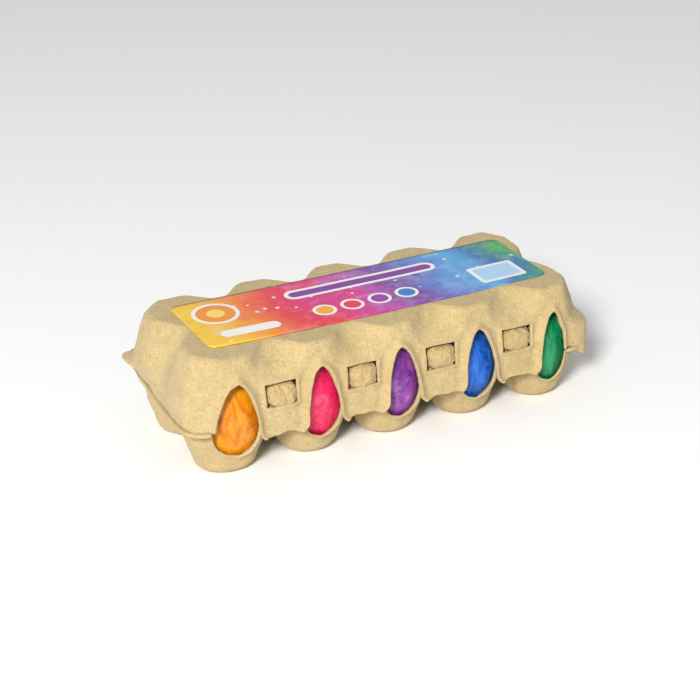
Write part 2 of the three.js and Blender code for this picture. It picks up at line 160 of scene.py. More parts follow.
def window_half(z):
    if z >= APEX or z <= WINDOW_FOOT:
        return 0.0
    if z > WIDE:
        rise, narrowing = WINDOW_POWERS
        return WINDOW_HALF * (1 - ((z - WIDE) / (APEX - WIDE)) ** rise) ** narrowing
    return WINDOW_HALF * math.sqrt(1 - ((WIDE - z) / (WIDE - WINDOW_FOOT)) ** 2)


def lid_cut_half(z):
    if z > WIDE:
        return window_half(z)
    down = clamp(PANEL_FOOT + PANEL_CORNER - z, 0, PANEL_CORNER)
    return WINDOW_HALF + PANEL_CORNER - math.sqrt(PANEL_CORNER**2 - down**2)


def joint_z(y):
    return JOINT_Z + JOINT_RISE * clamp(y / JOINT_CLIMB)


def angle_step(angle, degrees):
    """Grows softly from 0 to 1 between two angles, which are given in degrees."""
    return smoothstep(angle, *(math.radians(bound) for bound in degrees))


def pinch(end, y):
    """The left end is a little narrower beside the ear."""
    return 1 - PINCH["depth"] * smoothstep(y, *PINCH["ys"]) if end == LEFT else 1.0


def corner_edge(corners, side, end, angle):
    to_side, to_end, squareness = corners[side]
    to_end -= RIGHT_TRIM if end == RIGHT else 0
    share = (math.cos(angle) / to_side) ** squareness + (math.sin(angle) / to_end) ** squareness
    beside_ear = angle_step(angle, PINCH["angles"]) if side == BACK else 0.0
    return share ** (-1 / squareness) * lerp(1, pinch(end, ROW_OFFSET), beside_ear)


def end_edge(corners, end, y):
    corner = corners[FRONT if y < 0 else BACK][1]
    edge = lerp(END_EDGE, corner, abs(y) / ROW_OFFSET) - (RIGHT_TRIM if end == RIGHT else 0)
    return edge * pinch(end, y)


def skirt_share(side, end, angle):
    """1 at the front right ear, where the lid's edge hangs down over the tray's rim."""
    if side == FRONT and end == RIGHT:
        return angle_step(angle, SKIRT_ANGLES)
    return 0.0


def end_skirt_share(end, y):
    return 1 - smoothstep(y, *SKIRT_YS) if end == RIGHT else 0.0


def fold_share(side, angle):
    return 1 - angle_step(angle, FOLD_ANGLES) if side == BACK else 0.0


print("window", round(2 * window_half(WIDE), 1), "mm wide,", round(APEX - WINDOW_FOOT, 1), "mm high")

# %% [markdown]
# ## From grids of points to a sheet of pulp
# Moulded pulp is a sheet of even thickness with soft edges. In Blender a Solidify modifier gives a
# surface its thickness, and a Subdivision Surface modifier rounds the rims the way wet pulp dries.
# Both are applied at once, because the fine unevenness of the pulp is then pressed into the finished
# mesh. The surfaces are grids whose columns follow the windows' edges, so nothing has to be cut out.

# %% Sheet helpers
def grid_faces(points, is_hole=None):
    """Faces of a grid of points[column][row] as lists of four points."""
    faces = []
    for i in range(len(points) - 1):
        for j in range(len(points[0]) - 1):
            if is_hole is None or not is_hole(i, j):
                faces.append((points[i][j], points[i][j + 1], points[i + 1][j + 1], points[i + 1][j]))
    return faces


def mesh_from_faces(name, faces, looks_toward):
    """Joins faces along the corners they share. looks_toward says which way the first face looks."""
    places, corners, polygons = {}, [], []
    for face in faces:
        ring = []
        for point in face:
            key = tuple(round(float(value), 3) for value in point)
            if key not in places:
                places[key] = len(corners)
                corners.append(point)
            if places[key] not in ring:
                ring.append(places[key])
        if len(ring) > 2:
            polygons.append(ring)
    mesh = bpy.data.meshes.new(name)
    mesh.from_pydata([tuple(point) for point in to_metres(corners)], [], polygons)
    mesh.update()
    if mesh.polygons[0].normal.dot(Vector(looks_toward)) < 0:
        mesh.flip_normals()
    return mesh


def add_object(name, mesh):
    thing = bpy.data.objects.new(name, mesh)
    bpy.context.scene.collection.objects.link(thing)
    return thing


def apply_modifiers(thing):
    bpy.context.view_layer.update()
    graph = bpy.context.evaluated_depsgraph_get()
    thing.data = bpy.data.meshes.new_from_object(thing.evaluated_get(graph))
    thing.modifiers.clear()


def thicken(thing, wall, rounding=1):
    solidify = thing.modifiers.new("wall", "SOLIDIFY")
    solidify.thickness = wall * MM
    solidify.offset = -1
    solidify.use_even_offset = False
    softened = thing.modifiers.new("soft edges", "SUBSURF")
    softened.levels = rounding
    softened.render_levels = rounding
    apply_modifiers(thing)


def smooth_shade(thing):
    thing.data.polygons.foreach_set("use_smooth", [True] * len(thing.data.polygons))
    thing.data.update()


def press_unevenness(thing, relief, calm=None):
    """Moves each point along its normal by a few layers of noise, given as (size, height) in mm."""
    places = [corner.co.copy() for corner in thing.data.vertices]
    ways = [corner.normal.copy() for corner in thing.data.vertices]
    moved = []
    for place, way in zip(places, ways):
        height = sum(tall * noise.noise(place / (size * MM)) for size, tall in relief)
        if calm is not None:
            height *= calm(place)
        moved.extend(place + way * (height * MM))
    thing.data.vertices.foreach_set("co", moved)
    thing.data.update()


# %% [markdown]
# ## The rim round an opening
# Every window and slot has a rolled rim one to two millimetres wide, where the mould pinched the
# pulp. It could be a separate tube along the edge, but then a seam would show. A small bulge of the
# sheet itself, with a faint groove beside it, gives the rolled look and stays one piece.

# %% Rolled rims
RIMS = {"lid window": (2.4, 2.1), "slot": (0.9, 1.2), "panel foot": (0.4, 1.5), "cup window": (1.9, 2.0)}
GROOVE_PLACE, GROOVE_DEPTH = 2.3, 0.22
SLOT_HALF, SLOT_TOP, SLOT_FOOT = 9.25, 50.45, 37.1


def rolled_rim(distance, kind):
    height, width = RIMS[kind]
    roll = math.exp(-((distance / width) ** 2))
    groove = math.exp(-((distance / width - GROOVE_PLACE) ** 2))
    return height * (roll - GROOVE_DEPTH * groove)


def window_distance(along, z, half):
    if z > APEX:
        return math.hypot(along, z - APEX)
    return max(0.0, along - half)


def slot_distance(offset, z):
    beside = max(0.0, abs(HALF_PITCH - offset) - SLOT_HALF)
    above = max(0.0, z - SLOT_TOP, SLOT_FOOT - z)
    return math.hypot(beside, above)


print("rims:", ", ".join(RIMS))


# %% [markdown]
# ## The lid
# Seen from above the lid is a row of round lobes with valleys between them. Its surface is a fan of
# lines that run from the middle of the top, over the rounded edge and down the wall. Each line is a
# station: it knows its place in plan at any height. Between two windows the wall is a flat panel
# with a slot, at the ends a hollow between two corner lobes.

# %% Lid measures
END_LEAN = 2.3
SIDE_VALLEY, END_VALLEY = (13.4, 51.4), (9.6, 38.0)
FLANK = (0.28, 0.88)
LOBE_SOFTNESS = 0.35
FACET_SHARE = 0.75
FACET_ANGLE = math.radians(45)
FLARE_TOP = 46.4
FLARE_POWERS = {"rim": 2, "fold": 7}
EAR = {"low": 44.2, "high": 46.0, "reach": 0.92}
LIFT = {"rim": 0.1, "fold": 2.1}
LIP = 1.5
SLOT_EDGE = HALF_PITCH - SLOT_HALF
SKIRT = {"out": 1.9, "down": 7.5, "ragged": 3.0, "waves": 9}
LID_WALL = 2.0
TORN_FOOT = {"height": 1.1, "size": 6}
SAG = {"front": 1.9, "back": 0.2, "half_width": 44, "half_length": 112, "tilt": 0.022}
SIDE_REACH, SIDE_DRAFT = 20, 0.12
END_REACH, END_DRAFT, END_DRAFT_DEPTH = 17.8, 0.34, 23


def top_sag(x, y, z):
    fade = clamp((z - APEX) / (LID_TOP - APEX))
    depth = lerp(SAG["front"], SAG["back"], (y / SAG["half_width"] + 1) / 2)
    return fade * (depth * (1 - (x / SAG["half_length"]) ** 2) - SAG["tilt"] * y)


def lid_reach(z):
    return SIDE_REACH + SIDE_DRAFT * (LID_TOP - z)


def lid_end_reach(z):
    return END_REACH + END_DRAFT * min(LID_TOP - z, END_DRAFT_DEPTH)


def lobe(share):
    """1 on a lobe's flat front and 0 in the valley, with a flank that is nearly flat between."""
    down = clamp((share - FLANK[0]) / (FLANK[1] - FLANK[0]))
    return 1 - lerp(down, smoothstep(down, 0, 1), LOBE_SOFTNESS)


def facets(angle):
    """A corner lobe is nearly an octagon: its reach is the longest at the creases between facets."""
    from_middle = (angle + FACET_ANGLE / 2) % FACET_ANGLE - FACET_ANGLE / 2
    return 1 + FACET_SHARE * (1 / math.cos(from_middle) - 1)


def valley(depth_and_foot, z, share):
    depth, foot = depth_and_foot
    return depth * clamp((z - foot) / (LID_TOP - foot)) * (1 - lobe(share))


def flare(z, foot, power):
    return clamp((FLARE_TOP - z) / (FLARE_TOP - foot)) ** power


print("lid top at", LID_TOP, "mm, panel feet at", PANEL_FOOT, "mm")

# %% [markdown]
# A station is a small dictionary: where its line starts on the ridge, how much of a lobe it is on,
# the height of its foot and a function for its place at a height. Python closures keep the rules of
# panels, corners and ends apart, and the grid maker does not need to know which kind it draws.

# %% Stations of the lid
def side_station(side, cell, half, share):
    foot = PANEL_FOOT if side == FRONT else HINGE_Z + LIFT["fold"]

    def offset_at(z):
        edge = lid_cut_half(z) if side == FRONT and z < APEX else 0.0
        if share <= 0.5:
            return lerp(edge, SLOT_EDGE, share * 2)
        return lerp(SLOT_EDGE, HALF_PITCH, share * 2 - 1)

    if side == FRONT:
        foot_x = cell_x(cell) + half * offset_at(PANEL_FOOT)
        foot += TORN_FOOT["height"] * noise.noise(Vector((foot_x / TORN_FOOT["size"], 0, 0)))

    def plan(z, inset):
        offset = offset_at(z)
        out = lid_reach(z) - valley(SIDE_VALLEY, z, offset / HALF_PITCH) - inset
        if side == FRONT:
            out += rolled_rim(window_distance(offset, z, lid_cut_half(z)), "lid window")
            out += rolled_rim(slot_distance(offset, z), "slot")
            out += rolled_rim(z - PANEL_FOOT, "panel foot")
        else:
            out = lerp(out, FOLD_EDGE, flare(z, foot, FLARE_POWERS["fold"]))
        return cell_x(cell) + half * offset, side * (ROW_OFFSET + out)

    return {
        "ridge_x": cell_x(cell) + half * offset_at(LID_TOP),
        "lobe": lobe(offset_at(LID_TOP) / HALF_PITCH),
        "foot": foot,
        "plan": plan,
    }


def corner_station(side, end, share):
    def cut_at(z):
        return lid_cut_half(z) * TOWARD_END[end] if side == FRONT and z < APEX else 0.0

    def angle_at(z):
        return lerp(math.asin(cut_at(z) / lid_reach(z)), math.pi / 2, share)

    foot_angle = angle_at(JOINT_Z)
    folded = fold_share(side, foot_angle)
    skirt = skirt_share(side, end, foot_angle)
    edge = corner_edge(LID_CORNERS, side, end, foot_angle) - LIP * (1 - folded) + SKIRT["out"] * skirt
    foot = joint_z(side * (ROW_OFFSET + math.cos(foot_angle) * edge))
    foot += lerp(LIFT["rim"], LIFT["fold"], folded) - SKIRT["down"] * skirt
    foot += SKIRT["ragged"] * skirt * noise.noise(Vector((foot_angle * SKIRT["waves"], 1, 1)))

    def plan(z, inset):
        angle = angle_at(z)
        flared = flare(z, foot, lerp(FLARE_POWERS["rim"], FLARE_POWERS["fold"], folded))
        if side == FRONT and end == RIGHT:
            flared = max(flared, EAR["reach"] * (1 - smoothstep(z, EAR["low"], EAR["high"])))
        reach = lerp(lid_reach(z), lid_end_reach(z) - end * END_LEAN, math.sin(angle) ** 2)
        out = lerp((reach - inset) * facets(angle), edge, flared)
        if side == FRONT:
            along = lid_reach(z) * angle
            out += rolled_rim(window_distance(along, z, cut_at(z)), "lid window")
        return end * (END_CELL + math.sin(angle) * out), side * (ROW_OFFSET + math.cos(angle) * out)

    return {"ridge_x": end * END_CELL, "lobe": 1.0, "foot": foot, "plan": plan}


def end_station(end, y):
    to_valley = 1 - abs(y) / ROW_OFFSET
    skirt = end_skirt_share(end, y)
    foot = joint_z(y) + LIFT["rim"] - SKIRT["down"] * skirt
    edge = end_edge(LID_CORNERS, end, y) - LIP + SKIRT["out"] * skirt

    def plan(z, inset):
        reach = lid_end_reach(z) - end * END_LEAN * lobe(to_valley) - valley(END_VALLEY, z, to_valley)
        ear = EAR["reach"] * skirt * (1 - smoothstep(z, EAR["low"], EAR["high"]))
        flared = max(flare(z, foot, FLARE_POWERS["rim"]), ear)
        return end * (END_CELL + lerp(reach - inset, edge, flared)), y

    return {"ridge_x": end * END_CELL, "lobe": lobe(to_valley), "foot": foot, "plan": plan}

# %% [markdown]
# The stations are set close together where the sheet bends sharply, beside a window or a slot, and
# further apart on flat ground. Even spacing would need many more of them for the same crisp rims.
# The lid is drawn in runs, one for each panel and each end, with columns and rows on the slots' edges.

# %% Runs of stations round the lid
HALF_PANEL = [0, 0.04, 0.09, 0.16, 0.25, 0.34, 0.42, 0.5, 0.56, 0.63, 0.72, 0.81, 0.9, 1]
CORNER = [0, 0.02, 0.045, 0.08, 0.125, 0.18, 0.25, 0.33, 0.41, 0.5, 0.58, 0.66, 0.75, 0.83, 0.92, 1]
END_PLACES = [-21, -17.5, -14, -10.5, -7, -3.5, 0, 3.5, 7, 10.5, 14, 17.5, 21]


def panel_run(side, cell):
    from_left = [side_station(side, cell, 1, share) for share in HALF_PANEL]
    from_right = [side_station(side, cell + 1, -1, share) for share in HALF_PANEL]
    return from_left + from_right[::-1][1:]


def end_run(end):
    front = [corner_station(FRONT, end, share) for share in CORNER]
    middle = [end_station(end, y) for y in END_PLACES]
    rear = [corner_station(BACK, end, share) for share in CORNER]
    return front + middle + rear[::-1]


TOP_SHARES = [0, 0.2, 0.4, 0.6, 0.8, 0.94]
FOLD_TURNS = [0, 15, 30, 45, 60, 75, 90]
UPPER_SHARES = [0.3, 0.6, 0.85]
WALL_SHARES = [0, 0.04, 0.085, 0.12, 0.15, 0.18, 0.22, 0.28, 0.355, 0.43, 0.49, 0.53, 0.555]
WALL_SHARES += [0.58, 0.62, 0.68, 0.74, 0.8, 0.86, 0.91, 0.95, 0.98, 1]
SLOT_SHARES = (0.15, 0.555)
ROWS_ABOVE_WALL = len(TOP_SHARES) + len(FOLD_TURNS) + len(UPPER_SHARES)
SLOT_TOP_ROW, SLOT_FOOT_ROW = (ROWS_ABOVE_WALL + WALL_SHARES.index(share) for share in SLOT_SHARES)
EDGE_DROPS, EDGE_INSETS = (2.5, 3.4), (1.8, 2.8)


def station_line(station):
    """The points of one station's line from the ridge to the foot."""
    drop = lerp(*EDGE_DROPS, station["lobe"])
    inset = lerp(*EDGE_INSETS, station["lobe"])
    x, y = station["plan"](LID_TOP, inset)
    line = [(lerp(station["ridge_x"], x, share), y * share, LID_TOP) for share in TOP_SHARES]
    for turn in FOLD_TURNS:
        z = LID_TOP - drop * (1 - math.cos(math.radians(turn)))
        line.append((*station["plan"](z, inset * (1 - math.sin(math.radians(turn)))), z))
    heights = [lerp(LID_TOP - drop, APEX, share) for share in UPPER_SHARES]
    heights += [lerp(APEX, station["foot"], share) for share in WALL_SHARES]
    line += [(*station["plan"](z, 0), z) for z in heights]
    return [(x, y, z - top_sag(x, y, z)) for x, y, z in line]


def in_slot(column, row):
    first = HALF_PANEL.index(0.5)
    last = 2 * (len(HALF_PANEL) - 1) - first
    return first <= column < last and SLOT_TOP_ROW <= row < SLOT_FOOT_ROW


lid_faces = grid_faces([station_line(s) for s in end_run(RIGHT)])
lid_faces += grid_faces([station_line(s) for s in end_run(LEFT)[::-1]])
for cell in range(CELLS_IN_ROW - 1):
    lid_faces += grid_faces([station_line(s) for s in panel_run(FRONT, cell)], in_slot)
    lid_faces += grid_faces([station_line(s) for s in panel_run(BACK, cell)[::-1]])
lid = add_object("lid_pulp", mesh_from_faces("lid_pulp", lid_faces, (0, 0, 1)))
print("lid grid:", len(lid_faces), "faces")

# %% [markdown]
# The mesh is now given its wall and rounded rims. Then the surface gets the slight waves that a wire
# mould leaves. The waves are weaker under the label, where the top is pressed flat. A random value
# for each point would look like sand, so layers of smooth noise of three sizes are used.

# %% Lid wall and surface
CALM = {"half_length": 103, "half_width": 31, "border": 4, "heights": (60, 64), "share": 0.9}
LID_WAVES = [(19, 0.5), (6.5, 0.32), (2.4, 0.17)]


def calm_under_label(place):
    x, y, z = (value / MM for value in place)
    inside = smoothstep(CALM["half_length"] - abs(x), 0, CALM["border"])
    inside *= smoothstep(CALM["half_width"] - abs(y), 0, CALM["border"])
    inside *= smoothstep(z, *CALM["heights"])
    return 1 - CALM["share"] * inside


thicken(lid, LID_WALL)
press_unevenness(lid, LID_WAVES, calm_under_label)
smooth_shade(lid)
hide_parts("lid")
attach(lid, "lid")
print("lid:", len(lid.data.polygons), "faces")

# %% [markdown]
# ## The tray
# The tray is ten round cups. Each cup is drawn from its middle outward, like the spokes of a wheel:
# across the floor, up the wall, over the rim and on to the border that it shares with its
# neighbours, so the cups join without a seam. The spokes beside a window lean along its edge.

# %% Cup measures
CUP_PROFILE = [(9, 1.6), (12.4, 2.2), (14.8, 5), (17.5, 12.7), (18.4, 14.6), (20.6, 20), (22.5, 30.4)]
CUP_DRAFT = 0.1
CUP_LEAN = {LEFT: 2.4, RIGHT: -1.0}
RIM_DROP = 1.5
UNDER_SKIRT = 2.6
RIDGE_Z, ROW_RIDGE_Z, POST_Z = 24.9, 28.4, 38.4
ROW_RIDGE_RISE = 0.25
RIDGE_POWERS = {"rim": 1.5, "post": 2}
TAB_OUT = 20.7
RIM_AT_WINDOW = 21.8
FOLD_GAP = 0.3


def cup_radius(z):
    radii, heights = zip(*CUP_PROFILE)
    if z > heights[-1]:
        return radii[-1] + CUP_DRAFT * (z - heights[-1])
    return float(np.interp(z, heights, radii))


def cut_angle(z, widening=1.0):
    return math.asin(widening * window_half(z) / cup_radius(z))


def spoke(x, out, z, angle_at=None, lean=0.0, cut_at=None):
    fixed = math.atan2(x, out)
    return {"x": x, "out": out, "z": z, "angle_at": angle_at or (lambda height: fixed),
            "lean": lean, "cut_at": cut_at or (lambda height: 0.0)}


def between(a, b, share):
    """A spoke between two others."""
    return spoke(lerp(a["x"], b["x"], share), lerp(a["out"], b["out"], share), lerp(a["z"], b["z"], share),
                 lambda z: lerp(a["angle_at"](z), b["angle_at"](z), share),
                 lerp(a["lean"], b["lean"], share), a["cut_at"])


print("cup radius at its floor and rim:", cup_radius(WALL), cup_radius(JOINT_Z))

# %% [markdown]
# Every spoke ends on the cup's border: the rim in front or at the back, the ridge to the next cup, or
# the ridge between the rows. A few spokes are given one by one where the border bends, and the others
# are spaced between them, so that neighbouring cups end on the same points.

# %% Spokes round a cup
BESIDE_WINDOW = (14.65, 16.1, 17.6, HALF_PITCH)
CORNER_SPOKES = (0, 0.04, 0.1, 0.17, 0.25, 0.34, 0.43, 0.52, 0.61, 0.7, 0.8, 0.9, 1)
RIDGE_OUTS = (10, 0, -ROW_OFFSET / 2, -ROW_OFFSET)
FINE_SHARES, PLAIN_SHARES = (0, 0.2, 0.45, 0.7), (0, 0.33, 0.67)


def window_spokes(half):
    corner = math.atan2(HALF_PITCH, TAB_OUT)
    rim_angle = cut_angle(JOINT_Z)
    spokes = [spoke(half * WINDOW_HALF, RIM_AT_WINDOW, JOINT_Z,
                    lambda z: half * cut_angle(z), 0, cut_angle)]
    for x in BESIDE_WINDOW:
        share = (math.atan2(x, TAB_OUT) - rim_angle) / (corner - rim_angle)
        spokes.append(spoke(half * x, TAB_OUT, JOINT_Z,
                            lambda z, share=share: half * lerp(cut_angle(z), corner, share), 0, cut_angle))
    return spokes


def corner_spokes(side, end):
    def cut_at(z):
        return cut_angle(z, TOWARD_END[end]) if side == FRONT else 0.0

    spokes = []
    for share in CORNER_SPOKES:
        def angle_at(z, share=share):
            return end * lerp(cut_at(z), math.pi / 2, share)

        angle = abs(angle_at(JOINT_Z))
        reach = corner_edge(TRAY_CORNERS, side, end, angle) - FOLD_GAP * fold_share(side, angle)
        reach -= UNDER_SKIRT * skirt_share(side, end, angle)
        x, out = end * math.sin(angle) * reach, math.cos(angle) * reach
        spokes.append(spoke(x, out, joint_z(side * (ROW_OFFSET + out)), angle_at, CUP_LEAN[end], cut_at))
    return spokes


def ridge_z(side, out):
    if out > 0:
        edge, edge_z = (TAB_OUT, JOINT_Z) if side == FRONT else (FOLD_EDGE, HINGE_Z)
        return lerp(RIDGE_Z, edge_z, (out / edge) ** RIDGE_POWERS["rim"])
    return lerp(RIDGE_Z, POST_Z, (out / ROW_OFFSET) ** RIDGE_POWERS["post"])


def half_border(side, half, at_end):
    """The spokes from a cup's outer middle round one neighbour to its inner middle."""
    inward = -ROW_OFFSET
    if at_end:
        spokes = corner_spokes(side, half)
        y = side * ROW_OFFSET / 2
        coarse = [spokes[-1], spoke(half * end_edge(TRAY_CORNERS, half, y), inward / 2, joint_z(y)),
                  spoke(half * end_edge(TRAY_CORNERS, half, 0), inward, JOINT_Z)]
    else:
        spokes = []
        if side == FRONT:
            coarse = window_spokes(half)
        else:
            coarse = [spoke(half * x, FOLD_EDGE - FOLD_GAP, HINGE_Z) for x in (0, HALF_PITCH / 2, HALF_PITCH)]
        coarse += [spoke(half * HALF_PITCH, out, ridge_z(side, out)) for out in RIDGE_OUTS]
    corner_z = JOINT_Z if at_end else POST_Z
    coarse.append(spoke(half * HALF_PITCH / 2, inward, lerp(ROW_RIDGE_Z, corner_z, ROW_RIDGE_RISE)))
    coarse.append(spoke(0, inward, ROW_RIDGE_Z, lambda z: half * math.pi))
    for a, b in zip(coarse, coarse[1:]):
        shares = FINE_SHARES if a["x"] == half * WINDOW_HALF else PLAIN_SHARES
        first = 1 if spokes and a is spokes[-1] else 0
        spokes += [between(a, b, share) for share in shares[first:]]
    return spokes + [coarse[-1]]


print("spokes at a corner:", len(CORNER_SPOKES))

# %% [markdown]
# A spoke's points climb the cup wall at set heights, closer together round the foot and beside the
# window's lower tip. Above the wall they run straight to the border. The rim of the window bulges
# here by the same rule as in the lid, so the two halves of a rim look alike.

# %% Points along a spoke
FLOOR_SHARES = [0, 0.5]
CUP_HEIGHTS = [1.6, 1.75, 2.2, 3.3, 5, 8.5, 11.4, 12.7, 13.3, 14.6, 16.5, 18.2, 20]
UPPER_CUP_SHARES = [0.35, 0.7, 1]
BORDER_SHARES = [0.35, 0.7, 1]


def spoke_line(cell, side, one):
    def wall_point(z):
        angle = one["angle_at"](z)
        reach = cup_radius(z) + one["lean"] * math.sin(angle) ** 2 * max(0, 1 - z / JOINT_Z)
        if side == FRONT:
            along = abs(angle) * reach
            cut = window_half(z) if z > WINDOW_FOOT else 0.0
            beside = max(0.0, (abs(angle) - one["cut_at"](z)) * reach) if cut else along
            distance = beside if z > WINDOW_FOOT else math.hypot(along, WINDOW_FOOT - z)
            reach += rolled_rim(distance, "cup window")
        return cell_x(cell) + math.sin(angle) * reach, side * (ROW_OFFSET + math.cos(angle) * reach), z

    middle = (cell_x(cell), side * ROW_OFFSET, WALL)
    floor_edge = wall_point(WALL)
    line = [tuple(lerp(a, b, share) for a, b in zip(middle, floor_edge)) for share in FLOOR_SHARES]
    line += [wall_point(z) for z in CUP_HEIGHTS]
    rim = one["z"] - RIM_DROP
    line += [wall_point(lerp(CUP_HEIGHTS[-1], rim, share)) for share in UPPER_CUP_SHARES]
    border = (cell_x(cell) + one["x"], side * (ROW_OFFSET + one["out"]), one["z"])
    top = line[-1]
    line += [tuple(lerp(a, b, share) for a, b in zip(top, border)) for share in BORDER_SHARES]
    return line


def cup_grid(side, cell):
    right = half_border(side, RIGHT, cell == CELLS_IN_ROW - 1)
    left = half_border(side, LEFT, cell == 0)
    spokes = right + left[::-1][1:]
    lines = [spoke_line(cell, side, one) for one in spokes]
    return lines if side == FRONT else lines[::-1]


print("points along a spoke:", len(spoke_line(0, FRONT, half_border(FRONT, RIGHT, False)[0])))

# %% [markdown]
# At the corners and ends the real tray's rim turns down into a narrow lip, the band that shows just
# under the lid's edge. It continues the border as one more strip of the same sheet.

# %% Lip of the tray
LIP_STEPS = [(0, 0), (0.4, -0.4), (0.5, -1.2), (0.3, -2.2)]
LIP_SHARES = (0.33, 0.67, 1)


def lip_grid(side, end):
    places = []
    for one in corner_spokes(side, end):
        angle = abs(one["angle_at"](JOINT_Z))
        size = 1 - fold_share(side, angle)
        places.append((one["x"], one["out"], one["z"], math.sin(angle), math.cos(angle), size))
    last = corner_spokes(side, end)[-1]
    for y in (side * ROW_OFFSET / 2, 0.0):
        x = end * end_edge(TRAY_CORNERS, end, y)
        z = joint_z(y)
        out = abs(y) - ROW_OFFSET
        for share in LIP_SHARES:
            place = [lerp(a, b, share) for a, b in zip((last["x"], last["out"], last["z"]), (x, out, z))]
            places.append((*place, 1.0, 0.0, 1.0))
        last = {"x": x, "out": out, "z": z}
    grid = []
    for x, out, z, ahead, aside, size in places:
        grid.append([(end * END_CELL + x + end * ahead * step * size,
                      side * (ROW_OFFSET + out + aside * step * size), z + down * size)
                     for step, down in LIP_STEPS])
    return grid if side * end > 0 else grid[::-1]


tray_faces = []
for cell in range(CELLS_IN_ROW):
    tray_faces += grid_faces(cup_grid(FRONT, cell)) + grid_faces(cup_grid(BACK, cell))
for side in (FRONT, BACK):
    for end in (LEFT, RIGHT):
        tray_faces += grid_faces(lip_grid(side, end)[::-1])
print("tray grid:", len(tray_faces), "faces")

# %% [markdown]
# ## The locking tabs
# Four tabs stand on the front rim behind the panels, and each has a domed button that snaps into its
# slot. The dome is raised in the tab's own sheet by a power curve, which gives a flat top with soft
# shoulders; a sphere would bulge too much in the middle. The tab stands a little behind the panel,
# so a dark gap shows round the button. Its waves are deep, as the real buttons are crumpled.

# %% Tabs with buttons
TAB_HALF, TAB_FOOT, TAB_TOP = 9.6, 29.6, 52.6
TAB_SETBACK = 3.2
BUTTON_HALF, BUTTON_TALL, BUTTON_RAISE = 7.2, 5.3, 6.5
BUTTON_X, BUTTON_Z = 1.2, 42.3
DOME_SQUARENESS, DOME_FLATNESS = 3.4, 0.3
TAB_COLUMNS, TAB_ROWS = 49, 53
TAB_LEAN, SETBACK_HEIGHTS = 0.105, (30, 37)
TAB_TIP, TIP_NARROWING = 49.8, 0.3
TRAY_WAVES = [(19, 0.35), (6.5, 0.25), (2.6, 0.12)]
TAB_WAVES = [(7, 0.7), (2.8, 0.7), (1.2, 0.3)]
CALM_FLOOR = 3


def button_dome(x, z):
    aside, above = abs((x - BUTTON_X) / BUTTON_HALF), abs((z - BUTTON_Z) / BUTTON_TALL)
    return BUTTON_RAISE * clamp(1 - (aside**DOME_SQUARENESS + above**DOME_SQUARENESS)) ** DOME_FLATNESS


def tab_grid(cell):
    middle = cell_x(cell) + HALF_PITCH
    grid = []
    for share in np.linspace(-1, 1, TAB_COLUMNS):
        line = []
        for z in np.linspace(TAB_FOOT, TAB_TOP, TAB_ROWS):
            narrowing = 1 - TIP_NARROWING * clamp((z - TAB_TIP) / (TAB_TOP - TAB_TIP)) ** 2
            x = share * TAB_HALF * narrowing
            out = TAB_OUT - TAB_LEAN * (z - JOINT_Z) - TAB_SETBACK * smoothstep(z, *SETBACK_HEIGHTS)
            out += button_dome(x, z)
            line.append((middle + x, FRONT * (ROW_OFFSET + out), z))
        grid.append(line)
    return grid[::-1]


tab_faces = []
for cell in range(CELLS_IN_ROW - 1):
    tab_faces += grid_faces(tab_grid(cell))
tray = add_object("tray_pulp", mesh_from_faces("tray_pulp", tray_faces, (0, 0, 1)))
tabs = add_object("lock_tabs", mesh_from_faces("lock_tabs", tab_faces, (0, 1, 0)))
thicken(tray, WALL)
thicken(tabs, WALL)
press_unevenness(tray, TRAY_WAVES, lambda place: smoothstep(place.z, 0, CALM_FLOOR * MM))
press_unevenness(tabs, TAB_WAVES)
for piece in (tray, tabs):
    smooth_shade(piece)
    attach(piece, "tray")
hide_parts("tray")
print("tray:", len(tray.data.polygons), "faces, tabs:", len(tabs.data.polygons))

# %% [markdown]
# ## The fold at the back
# Lid and tray are one sheet, and the fold between them works as the hinge. A strip with a rounded
# section closes the gap at the back. It cannot ride on one body only, because the real fold bends when
# the lid opens, so the strip is attached to neither body and stays at rest.

# %% Fold strip
STRIP_LEFT, STRIP_RIGHT, STRIP_COLUMNS, STRIP_ROWS = -116, 117, 60, 13
STRIP_WALL = 1.0
STRIP_WAVES = [(9, 0.4), (3, 0.25)]
STRIP_Y, STRIP_Z = HINGE_Y - 0.6, HINGE_Z + 0.5
STRIP_BULGE, STRIP_HALF_HEIGHT = 1.3, 2.3


def fold_strip_grid():
    grid = []
    for x in np.linspace(STRIP_LEFT, STRIP_RIGHT, STRIP_COLUMNS):
        line = []
        for turn in np.linspace(-90, 90, STRIP_ROWS):
            angle = math.radians(turn)
            y, z = STRIP_Y + STRIP_BULGE * math.cos(angle), STRIP_Z + STRIP_HALF_HEIGHT * math.sin(angle)
            line.append((x, y, z))
        grid.append(line)
    return grid


fold_faces = grid_faces(fold_strip_grid())
fold = add_object("fold_strip", mesh_from_faces("fold_strip", fold_faces, (0, 0, -1)))
thicken(fold, STRIP_WALL)
press_unevenness(fold, STRIP_WAVES)
smooth_shade(fold)
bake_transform(fold)
print("fold strip:", len(fold.data.polygons), "faces")

# %% [markdown]
# ## The eggs
# An egg's outline is a circle pulled longer, and fuller toward one end. A UV sphere would need that
# pull as a separate step, so the rings are made directly from the outline, with the small waves that
# dried dye and shell give. Each egg stands on its fuller end in its cup.

# %% Egg meshes
EGG_SIZES = [(29.2, 20.7), (28.8, 20.6), (29.3, 20.8), (29.0, 20.5), (28.7, 20.7)]
EGG_FULLNESS = 0.09
EGG_RINGS, EGG_SIDES = 40, 56
EGG_GAP = 0.3
EGG_WAVES = [(11, 0.22), (4, 0.1)]


